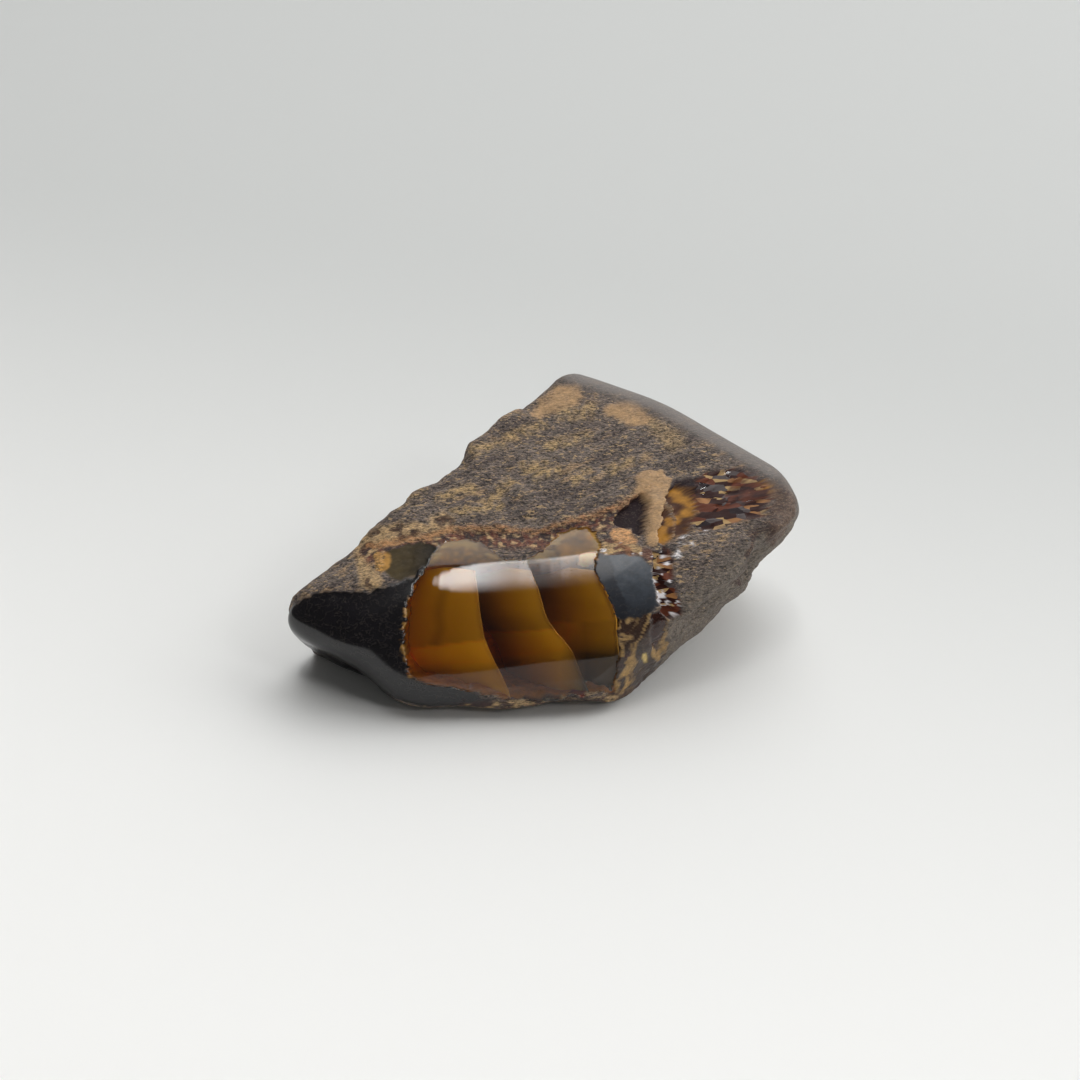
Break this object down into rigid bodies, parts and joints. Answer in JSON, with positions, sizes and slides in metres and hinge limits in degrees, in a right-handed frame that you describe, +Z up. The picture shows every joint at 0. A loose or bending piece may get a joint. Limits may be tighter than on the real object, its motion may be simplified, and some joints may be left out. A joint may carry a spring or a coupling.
{
  "type": "raw amber piece",
  "caption": "Raw piece of amber: a wedge-shaped stone with a woody brown crust, a polished see-through honey front, a dark glossy tip and a chipped right end.",
  "frame": {"origin": "on the resting plane, under the middle of the stone's box", "axes": "+X along the length of the stone, from the dark tip to the chipped lobe; +Y from the polished front to the back; +Z up"},
  "size_m": [0.0978, 0.0713, 0.0396],
  "materials": {
    "crust": "rough woody grey-brown crust with tan streaks, worn glossy at the tip and the back rim",
    "amber": "polished clear honey amber, darkening to brown with depth",
    "fracture": "golden glossy fracture surface inside the amber"
  },
  "bodies": {
    "root": {"raw_amber": "crust"}
  },
  "joints": []
}
